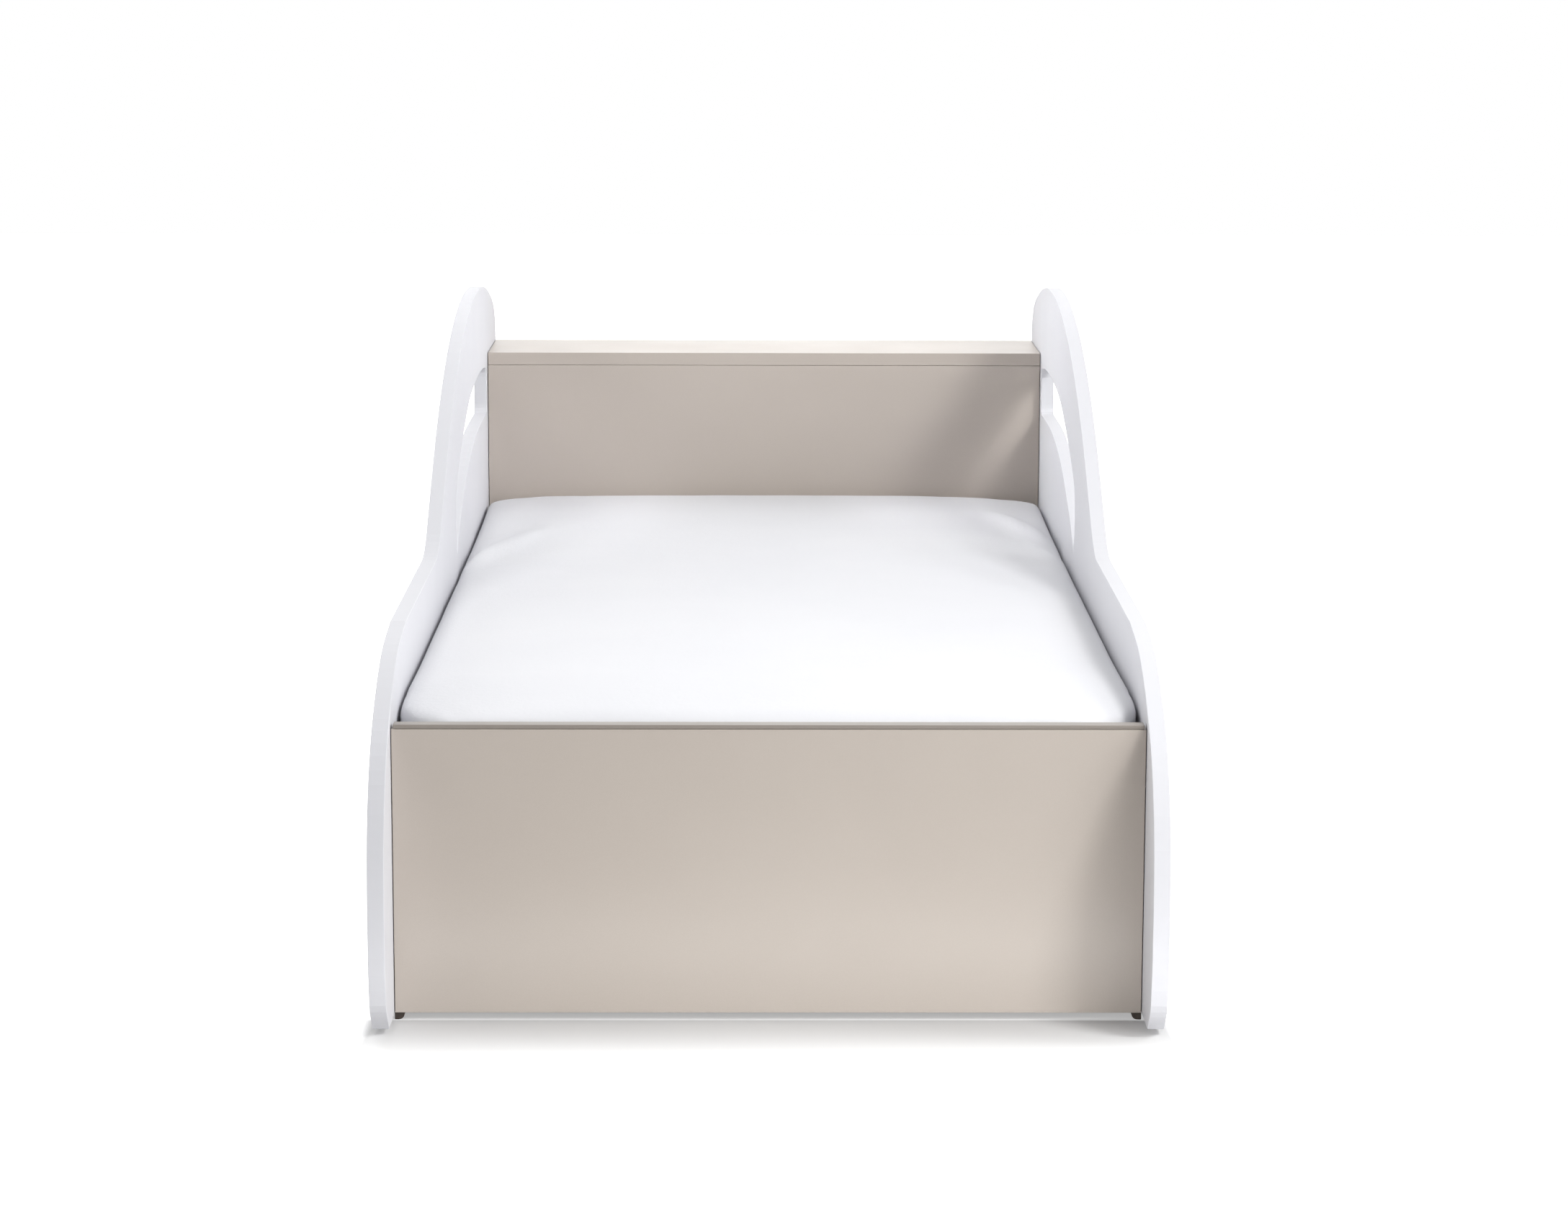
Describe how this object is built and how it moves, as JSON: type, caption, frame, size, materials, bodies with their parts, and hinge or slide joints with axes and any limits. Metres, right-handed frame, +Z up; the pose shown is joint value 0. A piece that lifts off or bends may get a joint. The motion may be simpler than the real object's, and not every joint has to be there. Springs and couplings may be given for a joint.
{
  "type": "toddler bed",
  "caption": "Low toddler bed with two curved side panels that rise to open fins, a flat footboard, a boxed headboard, a slatted base and a lift-out mattress.",
  "frame": {"origin": "centre of the bed's bounding box on the floor", "axes": "+X to the right as seen from the foot end, +Y from the foot end to the head end, +Z up"},
  "size_m": [0.752, 1.6875, 0.5865],
  "materials": {
    "white_lacquer": "white satin lacquer on board",
    "taupe_laminate": "taupe satin lacquer on board",
    "slat_birch": "planed birch",
    "rail_pine": "planed pine",
    "glide_plastic": "moulded dark brown",
    "mattress_foam": "foam core in its ticking",
    "sheet_cotton": "white brushed cotton terry",
    "zinc_casting": "zinc casting",
    "bright_steel": "zinc-plated steel"
  },
  "bodies": {
    "frame": {"base_rail_left": "rail_pine", "base_rail_right": "rail_pine", "cam_bolt_back_left": "bright_steel", "cam_bolt_back_right": "bright_steel", "cam_bolt_cap_left": "bright_steel", "cam_bolt_cap_right": "bright_steel", "cam_bolt_foot_1_left": "bright_steel", "cam_bolt_foot_1_right": "bright_steel", "cam_bolt_foot_2_left": "bright_steel", "cam_bolt_foot_2_right": "bright_steel", "cam_bolt_head_1_left": "bright_steel", "cam_bolt_head_1_right": "bright_steel", "cam_bolt_head_2_left": "bright_steel", "cam_bolt_head_2_right": "bright_steel", "cam_lock_back_left": "zinc_casting", "cam_lock_back_right": "zinc_casting", "cam_lock_cap_left": "zinc_casting", "cam_lock_cap_right": "zinc_casting", "cam_lock_foot_1_left": "zinc_casting", "cam_lock_foot_1_right": "zinc_casting", "cam_lock_foot_2_left": "zinc_casting", "cam_lock_foot_2_right": "zinc_casting", "cam_lock_head_1_left": "zinc_casting", "cam_lock_head_1_right": "zinc_casting", "cam_lock_head_2_left": "zinc_casting", "cam_lock_head_2_right": "zinc_casting", "footboard_edge_strip": "taupe_laminate", "footboard_panel": "taupe_laminate", "glide_foot_left": "glide_plastic", "glide_foot_right": "glide_plastic", "glide_head_left": "glide_plastic", "glide_head_right": "glide_plastic", "headboard_back_panel": "taupe_laminate", "headboard_cap": "taupe_laminate", "headboard_front_panel": "taupe_laminate", "rail_screw_left_1": "bright_steel", "rail_screw_left_2": "bright_steel", "rail_screw_left_3": "bright_steel", "rail_screw_left_4": "bright_steel", "rail_screw_right_1": "bright_steel", "rail_screw_right_2": "bright_steel", "rail_screw_right_3": "bright_steel", "rail_screw_right_4": "bright_steel", "side_panel_left": "white_lacquer", "side_panel_right": "white_lacquer", "slat_01": "slat_birch", "slat_02": "slat_birch", "slat_03": "slat_birch", "slat_04": "slat_birch", "slat_05": "slat_birch", "slat_06": "slat_birch", "slat_07": "slat_birch", "slat_08": "slat_birch", "slat_09": "slat_birch", "slat_10": "slat_birch", "slat_11": "slat_birch", "slat_12": "slat_birch"},
    "mattress": {"mattress_core": "mattress_foam", "fitted_sheet": "sheet_cotton"}
  },
  "joints": [
    {"name": "mattress_lift", "type": "slide", "parent": "frame", "child": "mattress", "axis": [0, 0, 1], "range_m": [0, 0.42]}
  ]
}
